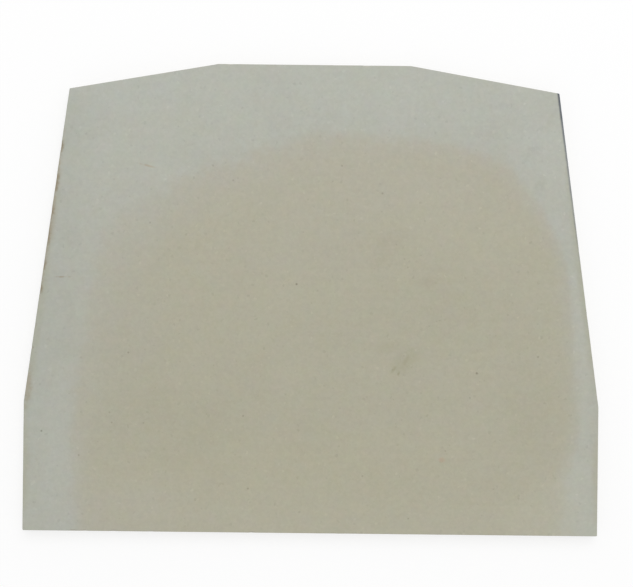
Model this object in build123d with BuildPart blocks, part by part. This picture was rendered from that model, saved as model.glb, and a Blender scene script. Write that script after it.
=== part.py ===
"""Kiln shelf: one slab of pressed and fired cordierite with an eight-cornered outline.

The slab lies flat. Its front edge is straight and runs the full width. The sides start square to it, then
lean inwards as two long flanks, and two shallow bevels lead from the shoulders to a short straight back edge.

Frame: +Z up, +Y from the front edge to the back edge, +X to the right as seen from the front.
The origin is on the underside, at the centre of the slab's width and depth. All lengths are in millimetres.
"""

import os

from build123d import *

# Driving dimensions of the outline
front_width = 508.0  # straight front edge, which is the whole width
depth = 414.0  # front edge to back edge
back_width = 170.0  # straight back edge, between the two bevels
side_run = 114.0  # square side, measured back from the front edge
flank_inset = 37.5  # how far each flank leans in between the side and the shoulder
bevel_run = 23.0  # how far each bevel runs back between the shoulder and the back edge

# Driving dimensions of the section
thickness = 16.0
arris_radius = 0.8  # easing of the upper and lower edges all round
face_corner_radius = 0.4  # corners of the flat faces, inside the eased edges

# Places worked out from the driving dimensions
side_x = front_width / 2
shoulder_x = side_x - flank_inset
back_x = back_width / 2
front_y = -depth / 2
back_y = depth / 2
outline_corner_radius = face_corner_radius + arris_radius

# Corners of the right half, from the front edge to the back edge, and their mirror images
right_corners = [
    (side_x, front_y),
    (side_x, front_y + side_run),
    (shoulder_x, back_y - bevel_run),
    (back_x, back_y),
]
left_corners = [(-x, y) for x, y in reversed(right_corners)]

# The slab: the outline with its corners rounded, pressed to its thickness, then eased along both faces
with BuildPart() as kiln_shelf:
    with BuildSketch() as outline:
        with BuildLine():
            Polyline(*right_corners, *left_corners, close=True)
        make_face()
        fillet(outline.vertices(), radius=outline_corner_radius)
    extrude(amount=thickness)
    underside = kiln_shelf.faces().sort_by(Axis.Z)[0]
    top_face = kiln_shelf.faces().sort_by(Axis.Z)[-1]
    fillet(underside.edges() + top_face.edges(), radius=arris_radius)

kiln_shelf.part.label = "kiln_shelf"

os.makedirs("parts", exist_ok=True)
export_step(kiln_shelf.part, "parts/kiln_shelf.step")

size = kiln_shelf.part.bounding_box().size
print(f"kiln_shelf {size.X:.1f} x {size.Y:.1f} x {size.Z:.1f} mm, {kiln_shelf.part.volume / 1e6:.3f} litres")
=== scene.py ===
# %% [markdown]
# # A kiln shelf of fired cordierite
# A kiln shelf is the flat slab that pots stand on while they are fired. This one was pressed from
# cordierite clay, eased along its edges and fired hard. The CAD model holds its exact outline and
# thickness. This lesson gives the slab what a drawing lacks: edges that wander and are nicked, pits where
# specks of iron burnt out, and the tan bloom that past firings have left on its face.

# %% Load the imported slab
import math

import bpy
import numpy as np
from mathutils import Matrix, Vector, geometry, noise


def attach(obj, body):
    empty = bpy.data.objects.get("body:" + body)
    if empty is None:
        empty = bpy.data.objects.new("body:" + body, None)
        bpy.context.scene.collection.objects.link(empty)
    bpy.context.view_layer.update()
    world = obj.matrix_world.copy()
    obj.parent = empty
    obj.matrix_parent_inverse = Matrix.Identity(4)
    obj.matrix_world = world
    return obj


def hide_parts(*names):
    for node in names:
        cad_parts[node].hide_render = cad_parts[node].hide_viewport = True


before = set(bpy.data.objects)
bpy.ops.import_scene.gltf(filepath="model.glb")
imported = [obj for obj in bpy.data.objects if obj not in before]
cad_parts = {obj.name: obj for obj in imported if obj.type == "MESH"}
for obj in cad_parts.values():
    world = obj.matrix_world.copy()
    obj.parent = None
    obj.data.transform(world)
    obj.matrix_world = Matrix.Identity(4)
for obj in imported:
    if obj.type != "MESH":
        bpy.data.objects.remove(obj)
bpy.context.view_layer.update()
MM = 0.001  # the scene is in metres, and a size below whose name ends in _mm is in millimetres
cad_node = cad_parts["kiln_shelf"]
cad_mm = np.array([vertex.co for vertex in cad_node.data.vertices]) / MM
width, depth, thickness = np.ptp(cad_mm, axis=0)  # in millimetres too
print(f"slab {width:.1f} x {depth:.1f} x {thickness:.1f} mm")

# %% [markdown]
# ## The camera
# The shelf is seen square on, from straight above its face, so that none of its thickness shows. A camera
# with no perspective would give that view as well, but a long lens a good way off also looks natural from
# the other sides. Its place and its small roll were found by laying the slab's corners over the photograph.

# %% Camera above the face
lens_mm = 85
sensor_mm = 36
camera_offset_mm = (3.7, 5.0)
camera_above_face_mm = 1320.3
camera_roll_deg = 0.63
camera_data = bpy.data.cameras.new("camera")
camera_data.lens = lens_mm
camera_data.sensor_width = sensor_mm
camera = bpy.data.objects.new("camera", camera_data)
camera.location = Vector((*camera_offset_mm, thickness + camera_above_face_mm)) * MM
camera.rotation_euler = (0, 0, math.radians(camera_roll_deg))
bpy.context.collection.objects.link(camera)
bpy.context.scene.camera = camera
bpy.context.scene.view_settings.view_transform = "Standard"
print(f"camera {camera.location.z:.3f} m above the floor")

# %% [markdown]
# ## Nodes and colours
# The materials and the sky are node trees. They could be wired by hand in the Shader Editor, but a script
# keeps every number in sight. One helper adds a node, sets its properties and fills its inputs, each with a
# value, a colour or a link from another node. Colours are written as they look on a screen, in sRGB hex,
# and another helper turns them into the linear light that the renderer works in.

# %% Helpers for nodes and colours


def linear(hex_colour):
    """A colour such as #B2B3A8 in linear light, with full alpha."""
    parts = [int(hex_colour[k:k + 2], 16) / 255 for k in (1, 3, 5)]
    return [p / 12.92 if p <= 0.04045 else ((p + 0.055) / 1.055) ** 2.4 for p in parts] + [1.0]


def add(tree, kind, inputs=None, **settings):
    """Add a node, set its properties, and fill its inputs, which are named or numbered.

    An input is given another node's output, a colour in sRGB hex, or a plain value."""
    node = tree.nodes.new(kind)
    for name, value in settings.items():
        setattr(node, name, value)
    for key, value in (inputs or {}).items():
        if isinstance(value, bpy.types.NodeSocket):
            tree.links.new(value, node.inputs[key])
        else:
            node.inputs[key].default_value = linear(value) if isinstance(value, str) else value
    return node


def empty_tree(owner):
    """The node tree of a material or a world, cleared."""
    owner.use_nodes = True
    owner.node_tree.nodes.clear()
    return owner.node_tree


print("middle grey in linear light:", linear("#808080"))

# %% [markdown]
# ## Sky
# The photograph has soft daylight that is a little stronger towards the back edge. Several lamps could
# imitate it, but a dim even sky and one wide lamp are enough. Together they light a flat surface at a level
# of about one, so that a colour looks the way it is written. The camera sees plain white beyond the slab,
# while the sky that lights the slab stays dim, so the Light Path node gives each kind of ray its own
# strength.

# %% Even sky
white = "#FFFFFF"
sky_level = 0.7


def seen_rays(tree):
    """1 for the rays that show a background: those of the camera, of reflections and through glass."""
    path = add(tree, "ShaderNodeLightPath")
    seen = path.outputs["Is Camera Ray"]
    for kind in ("Is Glossy Ray", "Is Transmission Ray"):
        seen = add(tree, "ShaderNodeMath", {0: seen, 1: path.outputs[kind]}, operation="MAXIMUM").outputs[0]
    return seen


world = bpy.data.worlds.new("soft_daylight")
bpy.context.scene.world = world
sky = empty_tree(world)
lit_sky = add(sky, "ShaderNodeBackground", {"Color": white, "Strength": sky_level})
white_sky = add(sky, "ShaderNodeBackground", {"Color": white, "Strength": 1.0})
sky_mix = add(sky, "ShaderNodeMixShader", {
    0: seen_rays(sky), 1: lit_sky.outputs[0], 2: white_sky.outputs[0]})
add(sky, "ShaderNodeOutputWorld", {"Surface": sky_mix.outputs[0]})
print(f"sky lights at {sky_level} and shows at 1")

# %% [markdown]
# ## Lamp
# The lamp stands for a window behind the back edge. A sun lamp would light the whole face alike. An area
# lamp a few steps away falls off slowly from the back edge to the front one, as the daylight does, and its
# width keeps the shadows soft.

# %% Lamp behind the back edge
lamp_place = Vector((0.3, 1.3, 2.6))  # metres
lamp_size = 1.8  # metres
lamp_power_w = 30.5
lamp_data = bpy.data.lights.new("window", "AREA")
lamp_data.size = lamp_size
lamp_data.energy = lamp_power_w
lamp = bpy.data.objects.new("window", lamp_data)
lamp.location = lamp_place
lamp.rotation_euler = (-lamp_place).to_track_quat("-Z", "Y").to_euler()
lamp.visible_camera = False
bpy.context.collection.objects.link(lamp)
print(f"lamp {lamp_place.length:.2f} m from the slab")

# %% [markdown]
# ## Floor
# The slab lies on a wide sheet of white paper. A matt white alone would come out a little grey, and a plain
# white glow would take no shadow, so that the slab would seem to float. The paper mixes the two for the
# camera: near the slab a quarter of what it sees is the matt sheet with its shadow, and further out that
# fades to plain white.

# %% Floor of white paper
floor_half = 6.0  # metres
floor_drop_mm = 0.2  # a hair below the slab, so that the two faces never coincide
floor_mesh = bpy.data.meshes.new("paper_floor")
floor_corners = [(sx * floor_half, sy * floor_half, -floor_drop_mm * MM)
                 for sx, sy in ((-1, -1), (1, -1), (1, 1), (-1, 1))]
floor_mesh.from_pydata(floor_corners, [], [(0, 1, 2, 3)])
floor = bpy.data.objects.new("paper_floor", floor_mesh)
bpy.context.collection.objects.link(floor)
print(f"floor {2 * floor_half:.0f} m square")

# %% Paper that fades to plain white
paper_tone = "#FCFCFC"
shadow_share = 0.25  # how much of the matt sheet and its shadow the camera sees near the slab
shadow_near, shadow_far = 0.5, 1.6  # metres from the slab's centre between which that fades to none
paper = bpy.data.materials.new("white_matt_paper")
sheet = empty_tree(paper)
paper_matt = add(sheet, "ShaderNodeBsdfDiffuse", {"Color": paper_tone})
paper_white = add(sheet, "ShaderNodeEmission", {"Color": white, "Strength": 1.0})
paper_place = add(sheet, "ShaderNodeTexCoord").outputs["Object"]
from_slab = add(sheet, "ShaderNodeVectorMath", {0: paper_place}, operation="LENGTH").outputs["Value"]
whiteness = add(sheet, "ShaderNodeMapRange", {
    "Value": from_slab, "From Min": shadow_near, "From Max": shadow_far,
    "To Min": 1 - shadow_share, "To Max": 1.0}, interpolation_type="SMOOTHSTEP").outputs[0]
paper_share = add(sheet, "ShaderNodeMath", {0: seen_rays(sheet), 1: whiteness}, operation="MULTIPLY")
paper_mix = add(sheet, "ShaderNodeMixShader", {
    0: paper_share.outputs[0], 1: paper_matt.outputs[0], 2: paper_white.outputs[0]})
add(sheet, "ShaderNodeOutputMaterial", {"Surface": paper_mix.outputs[0]})
floor_mesh.materials.append(paper)
print(f"shadow shows at {shadow_share} and is gone {shadow_far} m out")

# %% [markdown]
# ## The outline
# The CAD mesh could be subdivided, but its faces are long slivers that would bend badly, so the slab gets a
# fresh mesh on the CAD's outline. Its plan is convex, and so the outline is the convex hull of the CAD
# vertices as seen from above. Reading it from the frame keeps this model on the CAD size, whatever that is.
# The outline is then divided into short steps, because nicks and waviness can only be as fine as the mesh
# is.

# %% Outline in short steps
outline_step_mm = 1.5


def divide(corners, step):
    """Points along a closed outline, at most step apart, with its own corners kept."""
    points = []
    for start, end in zip(corners, np.roll(corners, -1, axis=0)):
        count = max(1, math.ceil(np.linalg.norm(end - start) / step))
        points += [start + (end - start) * k / count for k in range(count)]
    return np.array(points)


plan = np.unique(cad_mm[:, :2].round(3), axis=0)
hull = plan[geometry.convex_hull_2d(plan.tolist())]
hull_next = np.roll(hull, -1, axis=0)
if np.sum(hull[:, 0] * hull_next[:, 1] - hull_next[:, 0] * hull[:, 1]) < 0:
    hull = hull[::-1]  # so that the outline goes round against the clock
    hull_next = np.roll(hull, -1, axis=0)
loop = divide(hull, outline_step_mm)
along = np.roll(loop, -1, axis=0) - np.roll(loop, 1, axis=0)
along /= np.linalg.norm(along, axis=1)[:, None]
outward = np.c_[along[:, 1], -along[:, 0]]
steps = np.linalg.norm(np.roll(loop, -1, axis=0) - loop, axis=1)
run = np.r_[0, np.cumsum(steps)[:-1]]  # distance along the outline at each of its points
perimeter = steps.sum()
print(f"outline of {len(hull)} corners and {len(loop)} steps, {perimeter:.0f} mm round")

# %% [markdown]
# ## Eased edges
# A pressed slab has its sharp edges rubbed off by hand before firing, so the easing is never quite even. A
# Bevel modifier would give it one width all round. Here the width is a number that changes along the
# outline: it drifts slowly, varies with each stroke of the hand, and settles to the drawn width near a
# corner, where neighbouring vertices lie so close that an uneven easing would fold the mesh.

# %% Easing along the outline
slow_share, slow_mm = 0.25, 70  # the drift, as a share of the drawn width, and the length of its waves
quick_share, quick_mm = 0.2, 7  # the strokes, likewise
settle_mm = 15  # the easing settles over this distance from a corner
top_rim = cad_mm[np.isclose(cad_mm[:, 2], thickness, atol=1e-4)]
arris_mm = (width - np.ptp(top_rim[:, 0])) / 2  # the drawn width


def along_outline(spot):
    """Distance along the outline from each of its points to a spot on it."""
    return np.abs((run - spot + perimeter / 2) % perimeter - perimeter / 2)


def wander(points, size_mm, seed):
    """Smooth noise from -1 to 1 at each point, with waves about size_mm long. A point may lack its height."""
    shift = Vector((17.3, 5.9, 11.1)) * seed  # each seed reads the noise somewhere else
    return np.array([noise.noise(Vector((*p, 0.0)[:3]) / size_mm + shift) for p in points])


hull_lengths = np.linalg.norm(hull_next - hull, axis=1)
corner_run = np.r_[0, np.cumsum(hull_lengths)[:-1]]
free = np.clip(np.min([along_outline(corner) for corner in corner_run], axis=0) / settle_mm, 0, 1)


def eased_edge(seed, nicks):
    """Easing width in mm and breakage from 0 to 1 along the outline. A nick is (spot, half length, bite)."""
    uneven = slow_share * wander(loop, slow_mm, seed) + quick_share * wander(loop, quick_mm, seed + 1)
    easing = arris_mm * (1 + free * uneven)
    broken = np.zeros(len(loop))
    for spot, half_length, bite in nicks:
        hold = np.clip(1 - (along_outline(spot) / half_length) ** 2, 0, 1) * free
        easing += bite * hold
        broken = np.maximum(broken, np.sqrt(hold))
    return easing, broken


print(f"drawn easing {arris_mm:.2f} mm wide")

# %% [markdown]
# ## Nicks
# Years of lifting in and out have nicked the edges, which break off flat and not round. A nick could be cut
# with a Boolean modifier, but the cut leaves slivers in the mesh. Here it only widens the easing for a
# short way, and a second number along the outline says how broken the edge is there. The six chips on the
# left flank sit where the photograph has them, and the rest are stray ones.

# %% Chips and stray nicks
chips_mm = {133: 4, 101: 8, 75: 4, 52: 6, 27: 4, 7: 4}  # y and half length on the left flank
chip_bite_mm = (0.4, 0.9)  # least and most that a chip widens the easing
stray_half_mm = (1.5, 4.5)
stray_bite_mm = (0.3, 1.3)
top_strays = 14
under_strays = 26
dice = np.random.default_rng(1924)


def stray_nicks(count):
    """Small nicks anywhere along the outline."""
    ranges = (0, perimeter), stray_half_mm, stray_bite_mm
    return [tuple(dice.uniform(low, high) for low, high in ranges) for _ in range(count)]


left_side = loop[:, 0] < -width / 4
chips = []
chip_places = []
for y, half_length in chips_mm.items():
    nearest = np.where(left_side, np.abs(loop[:, 1] - y), np.inf).argmin()
    chips.append((run[nearest], half_length, dice.uniform(*chip_bite_mm)))
    chip_places.append(loop[nearest])
top_easing, top_broken = eased_edge(1, chips + stray_nicks(top_strays))
under_easing, under_broken = eased_edge(5, stray_nicks(under_strays))
print(f"easing {top_easing.min():.2f} to {top_easing.max():.2f} mm wide with its nicks")

# %% [markdown]
# ## The rim of the slab
# The rim is the slab's side with the eased edge above and below it. It could be extruded and bevelled, but
# as rings round the outline each of its points can be set by itself: one ring just inside each face to hold
# the shading flat, a quarter turn of rings over each eased edge, and level rings down the side. A round
# edge bends through a quarter circle and a broken one goes straight across, so each ring mixes the two by
# how broken the edge is. A break is also a little torn.

# %% Rings round the rim
arris_rings = 6
side_rings = 11
hold_mm = 0.2  # from the eased edge to the ring inside the face
torn_mm = 0.3  # how far a break is torn at most
torn_size_mm = 1.6


def edge_rings(easing, broken, seed):
    """How far in and down from the sharp edge the rings of an eased edge lie, from its face outwards."""
    turn = np.linspace(0, 1, arris_rings)[:, None]
    round_in = 1 - np.sin(turn * math.pi / 2)
    round_down = 1 - np.cos(turn * math.pi / 2)
    torn = torn_mm * broken * np.abs(wander(loop, torn_size_mm, seed)) * np.sin(turn * math.pi)
    inward = easing * (round_in + (1 - turn - round_in) * broken) + torn
    down = easing * (round_down + (turn - round_down) * broken) + torn
    return np.vstack([easing + hold_mm, inward]), np.vstack([0 * easing, down])


top_in, top_down = edge_rings(top_easing, top_broken, 3)
under_in, under_up = edge_rings(under_easing, under_broken, 7)
side_share = np.linspace(0, 1, side_rings + 2)[1:-1, None]
side_z = (thickness - top_down[-1]) * (1 - side_share) + under_up[-1] * side_share
ring_in = np.vstack([top_in, np.zeros_like(side_z), under_in[::-1]])
ring_z = np.vstack([thickness - top_down, side_z, under_up[::-1]])
ring_count = len(ring_in)
print(f"{ring_count} rings of {len(loop)} vertices")

# %% [markdown]
# ## Waves and torn grains
# The side is not a machined face. The clay took on the die's slight waves, and where a coarse grain stood at
# the wall it often tore out as the slab was pushed free. A Displace modifier would move the slab both ways
# and past its CAD size. So the rings are only pressed in, by a little smooth noise, and scattered vertices
# are pushed in further as small pits, which also get painted shade in their colour.

# %% Waves and torn grains on the side
side_wave_mm = 0.12  # how far the waves press in at most
side_wave_size_mm = 6
torn_grains = 260
torn_grain_mm = (0.15, 0.5)
torn_grain_shade = (0.1, 0.45)
side_first = len(top_in)
from_face = np.minimum(np.arange(ring_count), np.arange(ring_count)[::-1])
side_weight = np.clip((from_face - 1) / arris_rings, 0, 1)[:, None]
wave = np.array([0.5 + 0.5 * wander(np.c_[loop, heights], side_wave_size_mm, 9) for heights in ring_z])
ring_in += side_wave_mm * wave * side_weight
ring_pit_shade = np.zeros_like(ring_in)
for _ in range(torn_grains):
    ring = dice.integers(side_first, side_first + side_rings)
    step = dice.integers(0, len(loop))
    ring_in[ring, step] += dice.uniform(*torn_grain_mm) * free[step]
    # painted shade: each torn-grain pit on the side is darkened in colour as well as pressed in
    ring_pit_shade[ring, step] = dice.uniform(*torn_grain_shade) * free[step]
ring_xy = loop[None] - outward[None] * ring_in[..., None]
rim_vertices = np.concatenate([ring_xy, ring_z[..., None]], axis=2).reshape(-1, 3)
pressed_mm = ring_in[side_first:-side_first].max()
print(f"rim of {len(rim_vertices)} vertices, pressed in by up to {pressed_mm:.2f} mm")

# %% [markdown]
# ## Pits burnt out by iron
# Specks of iron in the clay melt in the fire and leave small dark pits. They could be painted dots, but a
# pit also catches shade and can be felt. The specks that show in the photograph are set at their places,
# and smaller ones are scattered between them, kept apart from each other and off the rim.

# %% Places of the pits
dark_pits_mm = [(146, -64), (-238, -119), (-14, 13)]  # the specks that stand out in the photograph
faint_pits_mm = [  # the ones that only just show
    (-89, 117), (-71, 104), (25, 118), (61, 94), (-144, 66), (84, 29), (200, -49), (-162, -49), (-178, -102),
    (-176, -111), (-148, -111), (-60, -104), (119, -133), (-205, -140), (46, -156), (-55, -168), (87, -193),
]
dark_pit = (0.75, 0.95), (0.25, 0.4), (0.35, 0.5)  # least and most radius in mm, depth in mm and darkness
faint_pit = (0.65, 0.85), (0.15, 0.25), (0.18, 0.3)
small_pit = (0.35, 0.6), (0.1, 0.2), (0.03, 0.14)
top_small_pits = 240
under_small_pits = 140
pits_apart_mm = 5
pits_off_rim_mm = 9
hull_along = hull_next - hull
hull_out = np.c_[hull_along[:, 1], -hull_along[:, 0]] / hull_lengths[:, None]


def inside_mm(points):
    """How far each point lies inside the outline."""
    return (np.sum(hull_out * hull, axis=1) - np.asarray(points) @ hull_out.T).min(axis=1)


def pit_at(x, y, kind):
    """A pit of one kind as x, y, radius, depth and darkness."""
    return (x, y, *(dice.uniform(low, high) for low, high in kind))


def scatter_pits(chosen, count):
    """The chosen pits, then count small ones kept apart from them and from each other."""
    pits = list(chosen)
    while len(pits) < len(chosen) + count:
        x = dice.uniform(-width / 2, width / 2)
        y = dice.uniform(-depth / 2, depth / 2)
        apart = min((math.hypot(x - pit[0], y - pit[1]) for pit in pits), default=math.inf)
        if apart > pits_apart_mm and inside_mm([(x, y)])[0] > pits_off_rim_mm:
            pits.append(pit_at(x, y, small_pit))
    return np.array(pits)


seen_pits = [pit_at(x, y, dark_pit) for x, y in dark_pits_mm]
seen_pits += [pit_at(x, y, faint_pit) for x, y in faint_pits_mm]
top_pits = scatter_pits(seen_pits, top_small_pits)
under_pits = scatter_pits([], under_small_pits)
print(f"{len(top_pits)} pits above, {len(under_pits)} below")

# %% [markdown]
# ## The two faces
# A face could be one flat polygon, but then it could hold no pits and no unevenness. Instead it gets a
# lattice of points 3 mm apart, or 4.5 mm on the underside, and each pit adds three small rings and a floor
# point of its own. Away from the rim all points sink a little by smooth noise, as a pressed face is never
# quite flat.

# %% Points of a face
top_step_mm = 3.0
under_step_mm = 4.5
lattice_jitter = 0.2  # as a share of the step
lattice_off_rim_mm = 5.5
pit_rings = ((1.5, 0.0, 0.0), (1.0, 0.2, 0.7), (0.55, 0.85, 1.0))  # radius, depth and darkness, as shares
pit_sides = 9
pit_wobble = (0.88, 1.12)
pit_clear_mm = 0.8  # between a pit's outer ring and the lattice
uneven_mm = 0.09  # how far the face sinks at most
long_share, long_mm = 0.6, 22  # the unevenness is long waves, with their share and length,
short_share, short_mm = 0.4, 7  # and short ones
uneven_from_mm, uneven_full_mm = 5, 17  # the unevenness grows between these distances from the outline


def lattice(step):
    """Staggered points over the face, each a little off its place, clear of the rim."""
    rows = np.arange(-depth / 2, depth / 2, step * math.sqrt(3) / 2)
    columns = np.arange(-width / 2, width / 2, step)
    points = np.array([(x + (k % 2) * step / 2, y) for k, y in enumerate(rows) for x in columns])
    points += dice.uniform(-lattice_jitter, lattice_jitter, points.shape) * step
    return points[inside_mm(points) > lattice_off_rim_mm]


def pit_points(x, y, radius, deep, dark):
    """Rows of x, y, depth and darkness for one pit."""
    rows = [(x, y, deep, dark)]
    start = dice.uniform(0, math.tau)
    for reach_share, deep_share, dark_share in pit_rings:
        for angle in start + math.tau * np.arange(pit_sides) / pit_sides:
            reach = radius * reach_share * dice.uniform(*pit_wobble)
            ring_x, ring_y = x + reach * math.cos(angle), y + reach * math.sin(angle)
            rows.append((ring_x, ring_y, deep * deep_share, dark * dark_share))
    return rows


def face_points(pits, step):
    """Rows of x, y, depth below the face and darkness, for the lattice and all pits."""
    grid = lattice(step)
    gap = np.hypot(grid[:, None, 0] - pits[None, :, 0], grid[:, None, 1] - pits[None, :, 1])
    grid = grid[(gap > pits[:, 2] * pit_rings[0][0] + pit_clear_mm).all(axis=1)]
    rows = np.vstack([np.c_[grid, np.zeros_like(grid)]] + [pit_points(*pit) for pit in pits])
    grow_mm = uneven_full_mm - uneven_from_mm
    fade = np.clip((inside_mm(rows[:, :2]) - uneven_from_mm) / grow_mm, 0, 1)
    swell = long_share * wander(rows[:, :2], long_mm, 13) + short_share * wander(rows[:, :2], short_mm, 15)
    rows[:, 2] += uneven_mm * fade * (0.5 + 0.5 * swell)
    return rows


top_points = face_points(top_pits, top_step_mm)
under_points = face_points(under_pits, under_step_mm)
print(f"{len(top_points)} points above, {len(under_points)} below")

# %% [markdown]
# The points of a face have to be joined to each other and to the rim. Blender's constrained Delaunay
# triangulation does both at once: it keeps the rim's edges and makes triangles as well shaped as the points
# allow, where a plain fill would make long thin ones that shade badly.

# %% Triangles of a face
only_inside = 1  # the kind of result that keeps the triangles inside the border
nearest_mm = 1e-5  # points closer than this would be merged


def fill_face(rim_xy, points):
    """Triangles between a rim and the points inside it, counting the rim's points first."""
    everything = [Vector(p) for p in [*rim_xy, *points[:, :2]]]
    border = [(k, (k + 1) % len(rim_xy)) for k in range(len(rim_xy))]
    made, _, triangles, *_ = geometry.delaunay_2d_cdt(everything, border, [], only_inside, nearest_mm)
    assert len(made) == len(everything), "no two points may coincide"
    return np.array(triangles)


top_triangles = fill_face(ring_xy[0], top_points)
under_triangles = fill_face(ring_xy[-1], under_points)
print(f"{len(top_triangles)} triangles above, {len(under_triangles)} below")

# %% [markdown]
# ## One closed mesh
# The real slab is one piece, and so is the mesh. The rim's rings become quads, and the two faces share the
# rim's first and last rings, so the skin is closed and has no doubled vertices that would need merging. The
# new mesh rides on the slab's body and stands for its CAD node.

# %% Join the rim and the faces
ring_size = len(loop)
rim_count = ring_count * ring_size
under_first = rim_count + len(top_points)
ring_start = np.arange(ring_count - 1)[:, None] * ring_size
here = np.arange(ring_size)[None]
ahead = np.roll(here, -1)
quads = np.stack([ring_start + here, ring_start + ring_size + here,
                  ring_start + ring_size + ahead, ring_start + ahead], axis=2).reshape(-1, 4)
top_index = np.r_[0:ring_size, rim_count:under_first]
under_index = np.r_[rim_count - ring_size:rim_count, under_first:under_first + len(under_points)]
faces = (quads.tolist() + top_index[top_triangles].tolist()
         + under_index[under_triangles[:, ::-1]].tolist())
vertices = np.vstack([rim_vertices,
                      np.c_[top_points[:, :2], thickness - top_points[:, 2]],
                      under_points[:, :3]])
slab_mesh = bpy.data.meshes.new("pressed_slab")
slab_mesh.from_pydata((vertices * MM).tolist(), [], faces)
slab_mesh.polygons.foreach_set("use_smooth", np.ones(len(faces), bool))
slab = bpy.data.objects.new("pressed_slab", slab_mesh)
bpy.context.collection.objects.link(slab)
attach(slab, "root")
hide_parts("kiln_shelf")
print(f"slab of {len(vertices)} vertices and {sum(len(face) - 2 for face in faces)} triangles")

# %% [markdown]
# The mesh knows things that a pattern in space can't know: where a pit is dark with iron, where a torn grain
# on the side gets painted shade, where the edge is broken and where the side begins. They could be painted on
# an image, but as attributes of the vertices they fit the shape exactly, and the material can read them.

# %% Keep darkness, breakage and side on the vertices
ring_broken = np.zeros_like(ring_in)
ring_broken[1:side_first] = top_broken
ring_broken[-side_first:-1] = under_broken
ring_side = np.repeat(side_weight, ring_size, axis=1)
face_zeros = np.zeros(len(top_points) + len(under_points))
vertex_values = {
    "iron_fleck_and_pit_shade": np.r_[ring_pit_shade.ravel(), top_points[:, 3], under_points[:, 3]],
    "broken": np.r_[ring_broken.ravel(), face_zeros],
    "side": np.r_[ring_side.ravel(), face_zeros],
}
for name, values in vertex_values.items():
    slab_mesh.attributes.new(name, "FLOAT", "POINT").data.foreach_set("value", values.astype(np.float32))
print("vertex values:", ", ".join(vertex_values))

# %% [markdown]
# ## Fired cordierite
# Cordierite shelves are pressed from clay, talc and coarse ground grog, and fired near 1400 degrees. The
# surface is dry and matt, pale grey where it is clean, with grains just large enough to see. Its colour
# could come from a picture, but that would be sharp at one distance only. Here it is built up from
# patterns, all measured in millimetres on the slab: first the skin, then the bloom, the marks and the
# grains.

# %% Start the material
face_low_mm, face_high_mm = 5.0, 15.0  # heights between which the look of the top face comes in
noise_low, noise_high = 0.28, 0.72  # nearly all values of a Noise Texture lie between these
cordierite = bpy.data.materials.new("pressed_cordierite")
slab_mesh.materials.append(cordierite)
clay = empty_tree(cordierite)
object_place = add(clay, "ShaderNodeTexCoord").outputs["Object"]
place = add(clay, "ShaderNodeVectorMath", {0: object_place, "Scale": 1 / MM}, operation="SCALE").outputs[0]
across_slab, _, height = add(clay, "ShaderNodeSeparateXYZ", {0: place}).outputs
upper = add(clay, "ShaderNodeMapRange", {
    "Value": height, "From Min": face_low_mm, "From Max": face_high_mm}).outputs[0]
iron_fleck_and_pit_shade, broken, side = (add(clay, "ShaderNodeAttribute", attribute_name=name).outputs["Fac"]
                       for name in vertex_values)


def patches(size_mm, low, high, detail=2.0, at=place):
    """A soft pattern with waves of size_mm that goes from low to high."""
    waves = add(clay, "ShaderNodeTexNoise", {
        "Vector": at, "Scale": 1 / size_mm, "Detail": detail}).outputs[0]
    return add(clay, "ShaderNodeMapRange", {
        "Value": waves, "From Min": noise_low, "From Max": noise_high,
        "To Min": low, "To Max": high}).outputs[0]


print("material", cordierite.name, "reads", ", ".join(vertex_values))

# %% [markdown]
# ## Clean pale skin
# The clean skin is not one grey. Talc and clay never mix quite evenly, so cooler and warmer patches a few
# centimetres wide drift into each other, with smaller ones inside them. The Mix node lays one colour over
# another by a share from 0 to 1. Its inputs 6 and 7 are the two colours, and its output 2 is the mixture.

# %% Skin in patches
skin_mm = 60
small_skin_mm = 11
skin = add(clay, "ShaderNodeMix", {
    0: patches(skin_mm, 0.0, 1.0), 6: "#B0B2A8", 7: "#B3B5AB"}, data_type="RGBA").outputs[2]
skin = add(clay, "ShaderNodeMix", {
    0: patches(small_skin_mm, 0.0, 0.5), 6: skin, 7: "#B0B0A4"}, data_type="RGBA").outputs[2]
print(f"skin in patches of {skin_mm} and {small_skin_mm} mm")

# %% [markdown]
# ## The bloom on the face
# Vapour from many firings has tinted the middle of the face tan. It stops short of the sides and the back,
# where the slab sat against the kiln's wall, and it runs out over the front edge. Its border is an arch
# with a blunt left shoulder. It could be painted, but lines are easier to move: each side of the arch is a
# straight line, the distance past each line is one dot product, and a smooth maximum of those distances
# rounds the corners between them. Each distance is divided by that side's softness, because the border is
# crisp on the right and very soft on the left shoulder.

# %% Border of the bloom
bloom_sides_mm = {  # two points on each side of the arch, going round against the clock, and its softness
    "right_foot": ((221, -207), (240, -110), 1.0),
    "right": ((242, -90), (226, 19), 0.8),
    "right_shoulder": ((214, 60), (178, 115), 1.0),
    "right_crown": ((173, 120), (145, 136), 1.2),
    "crown": ((140, 136), (28, 148), 1.3),
    "left_slope": ((0, 148), (-55, 136), 2.0),
    "left_shoulder": ((-60, 133), (-165, 81), 3.0),
    "left_bend": ((-183, 62), (-200, 5), 2.0),
    "left": ((-203, -20), (-215, -145), 1.6),
    "left_foot": ((-214, -160), (-205, -207), 1.6),
}
bloom_corner_mm = 14  # over which the corners of the arch are rounded
past_sides = []
for (ax, ay), (bx, by), softness in bloom_sides_mm.values():
    reach = math.hypot(bx - ax, by - ay) * softness
    out_x, out_y = (by - ay) / reach, (ax - bx) / reach
    across = add(clay, "ShaderNodeVectorMath", {0: place, 1: (out_x, out_y, 0)}, operation="DOT_PRODUCT")
    past_sides.append(add(clay, "ShaderNodeMath", {
        0: across.outputs["Value"], 1: out_x * ax + out_y * ay}, operation="SUBTRACT").outputs[0])
beyond = past_sides[0]
for past in past_sides[1:]:
    beyond = add(clay, "ShaderNodeMath", {
        0: beyond, 1: past, 2: bloom_corner_mm}, operation="SMOOTH_MAX").outputs[0]
print(f"bloom with {len(bloom_sides_mm)} sides")

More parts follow.
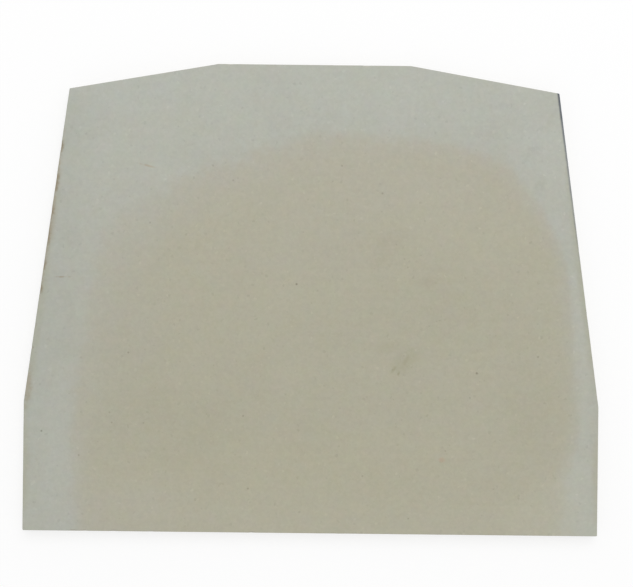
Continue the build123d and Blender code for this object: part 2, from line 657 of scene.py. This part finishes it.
# %% [markdown]
# Noise makes the border drift, so that no side of it looks ruled. The tint then comes in two steps: a quick
# one to a pale rim, and a slow one from there to the full tan. The tan has patches of its own, as the skin
# has.

# %% Tan of the bloom
drifts_mm = {40: 2.0, 9: 1.7}  # size of the waves in the border, and how far they move it
rim_half_mm = 4  # half the width of the quick step, where the softness is 1
rim_mm = 20  # how far in the slow step ends there
tan_mm = 70
small_tan_mm = 9
for wave_mm, drift_mm in drifts_mm.items():
    beyond = add(clay, "ShaderNodeMath", {
        0: beyond, 1: patches(wave_mm, -drift_mm, drift_mm)}, operation="ADD").outputs[0]
bloom = add(clay, "ShaderNodeMapRange", {
    "Value": beyond, "From Min": rim_half_mm, "From Max": -rim_half_mm},
    interpolation_type="SMOOTHSTEP").outputs[0]
bloom = add(clay, "ShaderNodeMath", {0: bloom, 1: upper}, operation="MULTIPLY").outputs[0]
full = add(clay, "ShaderNodeMapRange", {
    "Value": beyond, "From Min": rim_half_mm, "From Max": -rim_mm},
    interpolation_type="SMOOTHSTEP").outputs[0]
tan = add(clay, "ShaderNodeMix", {
    0: patches(tan_mm, 0.0, 1.0), 6: "#B0AD9A", 7: "#ADAA97"}, data_type="RGBA").outputs[2]
tan = add(clay, "ShaderNodeMix", {
    0: patches(small_tan_mm, 0.0, 0.5), 6: tan, 7: "#AFAC9B"}, data_type="RGBA").outputs[2]
tint = add(clay, "ShaderNodeMix", {0: full, 6: "#B0AEA1", 7: tan}, data_type="RGBA").outputs[2]
colour = add(clay, "ShaderNodeMix", {0: bloom, 6: skin, 7: tint}, data_type="RGBA").outputs[2]
print(f"border drifts by up to {sum(drifts_mm.values()):.1f} mm where the softness is 1")

# %% [markdown]
# ## Sides and breaks
# The sides saw more of the kiln's fire than the face did and are a little warmer. A fresh break shows the
# clean, paler body, while the chips along the left flank are old and have gone brown with use. Materials of
# their own would meet in hard lines, so these looks are mixed in by the values on the vertices.

# %% Sides, fresh breaks and old chips
side_patch_mm = 9
crumb_mm = 2  # a break is crumbly
crumb_shares = (0.35, 0.95)
old_from_mm, old_full_mm = -200.0, -220.0  # x between which breaks turn old towards the left
old_chip = add(clay, "ShaderNodeMapRange", {
    "Value": across_slab, "From Min": old_from_mm, "From Max": old_full_mm}).outputs[0]
old_chip = add(clay, "ShaderNodeMath", {0: old_chip, 1: upper}, operation="MULTIPLY").outputs[0]
chip_share = add(clay, "ShaderNodeMath", {
    0: broken, 1: patches(crumb_mm, *crumb_shares)}, operation="MULTIPLY").outputs[0]
warm_side = add(clay, "ShaderNodeMix", {
    0: patches(side_patch_mm, 0.0, 1.0), 6: "#AEAA98", 7: "#B6B2A2"}, data_type="RGBA").outputs[2]
break_tone = add(clay, "ShaderNodeMix", {
    0: old_chip, 6: "#BDBAAD", 7: "#988C77"}, data_type="RGBA").outputs[2]
for share, layer in ((side, warm_side), (chip_share, break_tone)):
    colour = add(clay, "ShaderNodeMix", {0: share, 6: colour, 7: layer}, data_type="RGBA").outputs[2]
print(f"breaks crumble at {crumb_mm} mm")

# %% [markdown]
# ## Marks of use
# The photograph shows paler and darker clouds in the tint and some single marks: a scuff right of the middle,
# smudges, a scratch, rust and a brown stain along the left flank. A dark line of painted shade runs along the
# right flank.
# They could be painted on an image, but a list of them is easy to read and to change. Each mark is an
# ellipsoid round a point of the top face, and every chip on the left flank has a brown stain as well.

# %% Places of clouds, scuffs, stains and scratches
flank_deg = 82.3  # between a flank and the front edge
marks = {  # centre, half length and half width in mm, turn in degrees, colour, share, noise in mm, raggedness
    # clouds in the grey round the bloom
    "left_pale": (-165, 160, 130, 65, 14, "#B5B8B2", 0.35, 30, 0.5),
    "back_pale": (60, 200, 330, 60, 0, "#B5B7AD", 0.55, 40, 0.5),
    "right_pale": (210, 145, 90, 50, -70, "#B6B8AF", 0.55, 30, 0.4),
    "right_foot": (243, -182, 75, 34, 90, "#B5B7AB", 0.6, 30, 0.4),
    "left_shade": (-238, -25, 190, 45, 82, "#A7AAA1", 0.45, 25, 0.5),
    "left_foot": (-238, -165, 100, 45, 90, "#AFB0A4", 0.5, 25, 0.4),
    "right_shade": (243, -60, 190, 30, -84, "#ADAC9E", 0.4, 25, 0.4),
    "right_halo": (237, -45, 150, 10, -85.8, "#B5B6AB", 0.5, 15, 0.4),
    "left_corner": (-216, 152, 42, 38, 0, "#ABADA2", 0.5, 25, 0.4),
    # veils where the bloom is thin
    "left_veil": (-180, -20, 160, 75, 85, "#AEADA0", 0.42, 30, 0.4),
    "left_halo": (-222, -150, 110, 22, 90, "#B3B5AC", 0.3, 20, 0.4),
    "slope_haze": (-140, 142, 95, 42, 22, "#B2B3A5", 0.45, 20, 0.4),
    "shoulder_haze": (-155, 76, 58, 44, 45, "#B0B0A6", 0.3, 20, 0.4),
    "crown_veil": (70, 105, 190, 55, -6, "#B1AEA0", 0.42, 30, 0.4),
    "middle_veil": (0, 48, 95, 52, 0, "#B0ADA0", 0.25, 30, 0.4),
    # clouds near the front edge
    "foot_pale": (60, -200, 250, 45, 0, "#B1AE9B", 0.5, 30, 0.4),
    "foot_tan": (0, -148, 240, 52, 0, "#AEAA92", 0.3, 30, 0.4),
    "foot_blush": (-165, -188, 75, 38, 0, "#B1AE9F", 0.5, 25, 0.4),
    "foot_veil": (205, -195, 70, 46, 50, "#B5B3A1", 0.42, 20, 0.4),
    # darker clouds in the tan
    "dark_left": (-145, -112, 95, 50, 0, "#A6A38F", 0.2, 22, 0.5),
    "dark_wide": (-110, -75, 160, 120, 0, "#A4A18C", 0.19, 40, 0.4),
    "dark_low": (10, -100, 240, 45, 0, "#A8A591", 0.17, 30, 0.5),
    "dark_middle": (60, -10, 170, 80, 0, "#A9A692", 0.25, 40, 0.5),
    "dark_right": (195, -95, 60, 45, 80, "#A8A591", 0.3, 20, 0.5),
    "dark_flank": (160, -20, 85, 65, 80, "#A7A490", 0.16, 30, 0.4),
    # darker strips along the flanks and the square sides
    "right_edge": (238, 30, 160, 8, -flank_deg, "#A8A895", 0.6, 15, 0.5),
    "left_edge": (-243, -20, 150, 8, flank_deg, "#A8A897", 0.5, 15, 0.5),
    "left_side": (-254, -150, 60, 8, 90, "#A9A896", 0.6, 15, 0.5),
    "right_side": (254, -155, 60, 8, 90, "#ACAA98", 0.6, 15, 0.5),
    # smudges
    "skin_smudge": (192, 132, 14, 7, 30, "#A7A89D", 0.35, 6, 0.7),
    "skin_streak": (210, 163, 16, 3, 62, "#A8A99E", 0.3, 5, 0.7),
    "strip_smear": (-214, -18, 10, 4, 60, "#A4A79D", 0.4, 5, 0.7),
    "skin_spot": (200, 101, 12, 7, 70, "#A7A89D", 0.3, 6, 0.7),
    "smudge": (64, 44, 30, 13, 59, "#A39E8C", 0.22, 8, 0.8),
    "small_smudge": (101, 16, 16, 6, 3, "#A39E8C", 0.25, 6, 0.8),
    # the scuff right of the middle
    "scuff": (82, -55, 22, 12, 39, "#99967C", 0.25, 5, 0.9),
    "scuff_haze": (66, -43, 16, 7, 20, "#9F9C86", 0.2, 5, 0.9),
    "scuff_stroke": (72.5, -61.5, 5.5, 2.0, 52, "#99957D", 0.55, 3, 0.5),
    "scuff_nick": (77.0, -65, 2.8, 1.5, 65, "#959179", 0.65, 3, 0.4),
    "scuff_tail": (83, -54, 9, 2.4, 58, "#A19D86", 0.45, 3, 0.6),
    # a scratch and rust
    "scratch": (-221, 17.3, 10, 1.0, 1, "#9A917E", 0.75, 3, 0.8),
    "rust_streak": (-147, 116.5, 10, 1.3, -14, "#A89A86", 0.6, 4, 0.6),
    "rust_spot": (116.5, -141, 4.5, 3.2, 0, "#B09A86", 0.5, 3, 0.6),
    # the brown stain along the left flank
    "flank_haze": (-231.5, 85, 85, 9, flank_deg, "#A39A86", 0.38, 8, 0.8),
    "flank_stain": (-231.5, 70, 95, 3.5, flank_deg, "#968C78", 0.4, 3, 1.0),
    "corner_stain": (-251, -80, 26, 6, 85, "#9E9582", 0.5, 4, 1.0),
    # painted shade: a dark line along the right flank's eased edge, greyer towards its lower end
    "flank_painted_shade": (216.5, 184, 80, 3.0, -flank_deg, "#1D293D", 1.0, 12, 0.15),
    "flank_painted_shade_end": (224, 128, 125, 2.6, -flank_deg, "#7C8084", 0.8, 8, 0.4),
}
stain_stretch = 1.7  # a stain is this many times as long as its chip
stain_half_mm = 4
for (x, y), half_length in zip(chip_places, chips_mm.values()):
    marks[f"chip_stain_{y:.0f}"] = (
        x, y, stain_stretch * half_length, stain_half_mm, flank_deg, "#8D816B", 0.62, 3, 0.7)
print(f"{len(marks)} marks, {len(chip_places)} of them stains at the chips")

# %% [markdown]
# The Mapping node turns a place on the slab into the ellipsoid's own coordinates, and a spherical gradient
# falls from 1 at its centre to 0 at its skin. Multiplied by noise, that breaks up, so that no mark is a
# clean ellipse. A mark reaches down by half its width, but by 5 mm at most, and so a stain at the edge runs
# a little way down the side, as a real one does.

# %% Lay the marks on
mark_depth_mm = 5.0
mark_core = 0.8  # where the gradient reaches this, a mark has its full share
for x, y, half_length, half_width, turn, tint, share, noise_mm, ragged in marks.values():
    local = add(clay, "ShaderNodeMapping", {
        "Vector": place, "Location": (x, y, thickness), "Rotation": (0, 0, math.radians(turn)),
        "Scale": (half_length, half_width, min(half_width, mark_depth_mm))}, vector_type="TEXTURE").outputs[0]
    heart = add(clay, "ShaderNodeTexGradient", {"Vector": local}, gradient_type="SPHERICAL").outputs["Fac"]
    worn = add(clay, "ShaderNodeMath", {
        0: heart, 1: patches(noise_mm, 1 - ragged, 1 + ragged, detail=3.0)}, operation="MULTIPLY").outputs[0]
    amount = add(clay, "ShaderNodeMapRange", {
        "Value": worn, "From Max": mark_core, "To Max": share}, interpolation_type="SMOOTHSTEP").outputs[0]
    colour = add(clay, "ShaderNodeMix", {0: amount, 6: colour, 7: tint}, data_type="RGBA").outputs[2]
print(f"{len(clay.nodes)} nodes so far")

# %% [markdown]
# ## Grog
# Over everything lies the grog, fired clay ground to grains near half a millimetre. They are drawn here
# four times as coarse so that they show, each a touch lighter or darker than the next, and more so on the
# sides. About one in seventy is dark, and as many are white. Noise would give soft blots. The Voronoi
# texture gives each cell one random colour with a hard border, as grains have: its red sets the tone and
# its green the kind.

# %% Grains
grog_mm = 2.0  # drawn coarser than the real 0.5 mm, which is below a pixel
face_tones = (0.979, 1.021)  # darkest and lightest grain
side_tones = (0.93, 1.05)
odd_share = 0.014  # of the grains are dark, and as many are white
dark_tone = 0.91
white_tone = 1.075
grog = add(clay, "ShaderNodeTexVoronoi", {"Vector": place, "Scale": 1 / grog_mm})
grain_tone, grain_kind, _ = add(clay, "ShaderNodeSeparateColor", {0: grog.outputs["Color"]}).outputs
darkest, lightest = (
    add(clay, "ShaderNodeMapRange", {"Value": side, "To Min": on_face, "To Max": on_side}).outputs[0]
    for on_face, on_side in zip(face_tones, side_tones))
grain = add(clay, "ShaderNodeMapRange", {
    "Value": grain_tone, "To Min": darkest, "To Max": lightest}).outputs[0]
dark_grain = add(clay, "ShaderNodeMapRange", {
    "Value": grain_kind, "From Min": odd_share, "From Max": 0.0,
    "To Min": 1.0, "To Max": dark_tone}).outputs[0]
white_grain = add(clay, "ShaderNodeMapRange", {
    "Value": grain_kind, "From Min": 1 - odd_share, "To Min": 1.0, "To Max": white_tone}).outputs[0]
print(f"grog drawn at {grog_mm} mm")

# %% [markdown]
# ## Streaks, mottle and iron
# Striking the clay off level with a straight bar has left faint streaks along the slab's width: noise that is
# stretched by a Mapping node. Grains also lie in clusters a little lighter or darker than their neighbours.
# All of these tones are multiplied together and then into the colour. Where clay or talc is richer the hue
# drifts too, so a coloured noise moves red, green and blue a little apart. Last comes the iron, dark brown,
# and the same dark brown is painted shade in the torn-grain pits on the sides.

# %% Streaks, clusters, mottle and iron
streak_mm = 5
streak_stretch = 0.06  # across to along
streak_tones = (0.992, 1.008)
cluster_mm = 5
cluster_tones = (0.98, 1.02)
mottle_mm = 14
hue_drift = (0.08, 0.08, 0.12)  # the whole range of red, green and blue
hue_least = [1 - drift / 2 for drift in hue_drift]
along_bar = add(clay, "ShaderNodeMapping", {"Vector": place, "Scale": (streak_stretch, 1.0, 1.0)}).outputs[0]
streak = patches(streak_mm, *streak_tones, at=along_bar)
cluster = patches(cluster_mm, *cluster_tones, detail=3.0)
for tone in (dark_grain, white_grain, streak, cluster):
    grain = add(clay, "ShaderNodeMath", {0: grain, 1: tone}, operation="MULTIPLY").outputs[0]
mottle = add(clay, "ShaderNodeTexNoise", {
    "Vector": place, "Scale": 1 / mottle_mm, "Detail": 3.0, "Roughness": 0.8}).outputs["Color"]
mottle = add(clay, "ShaderNodeVectorMath", {
    0: mottle, 1: hue_drift, 2: hue_least}, operation="MULTIPLY_ADD").outputs[0]
for tone in (grain, mottle):
    colour = add(clay, "ShaderNodeMix", {
        0: 1.0, 6: colour, 7: tone}, data_type="RGBA", blend_type="MULTIPLY").outputs[2]
# dark brown by the darkness on the vertices: iron specks in the face pits, and painted shade in the side's
# torn-grain pits
colour = add(clay, "ShaderNodeMix", {0: iron_fleck_and_pit_shade, 6: colour, 7: "#5B5446"}, data_type="RGBA").outputs[2]
print(f"streaks about {streak_mm} mm wide, mottle of {mottle_mm} mm")

# %% [markdown]
# ## Fine relief and finish
# The finest clay was pressed up round each grain by a few hundredths of a millimetre, and on the sides the
# die has drawn fine upright lines. As mesh that would take millions of faces, so relief finer than the mesh
# is a bump. The Voronoi texture's distance is least at the middle of a grain and most between the grains,
# which is just this shape. Fired clay hardly shines at all: its IOR is the mineral's own, its roughness is
# high, and its specular level is low because pores swallow most of the reflection.

# %% Bump and surface
rise_mm = 2.2  # the clay rises more and less in patches of this size
drag_mm = 1.2  # drawn coarser than the real lines, which are below a pixel
drag_stretch = 0.03  # across to along
drag_rise = 0.8  # height of the lines, where the clay round a grain rises by up to about 1
bump_mm = 0.08
bump_strength = 0.5
dry_mm = 4  # patches in which the roughness changes
dry_roughness = (0.84, 0.96)
cordierite_ior = 1.54
specular_level = 0.2
grain_rise = add(clay, "ShaderNodeMath", {
    0: grog.outputs["Distance"], 1: patches(rise_mm, 0.0, 1.0, detail=4.0)}, operation="MULTIPLY").outputs[0]
upright = add(clay, "ShaderNodeMapping", {"Vector": place, "Scale": (1.0, 1.0, drag_stretch)}).outputs[0]
drag = add(clay, "ShaderNodeMath", {
    0: patches(drag_mm, 0.0, drag_rise, at=upright), 1: side}, operation="MULTIPLY").outputs[0]
relief = add(clay, "ShaderNodeMath", {0: grain_rise, 1: drag}, operation="ADD").outputs[0]
bump = add(clay, "ShaderNodeBump", {
    "Height": relief, "Strength": bump_strength, "Distance": bump_mm * MM}).outputs[0]
clay_surface = add(clay, "ShaderNodeBsdfPrincipled", {
    "Base Color": colour, "Roughness": patches(dry_mm, *dry_roughness), "Normal": bump,
    "IOR": cordierite_ior, "Specular IOR Level": specular_level})
add(clay, "ShaderNodeOutputMaterial", {"Surface": clay_surface.outputs[0]})
print(f"{len(clay.nodes)} nodes in {cordierite.name}")
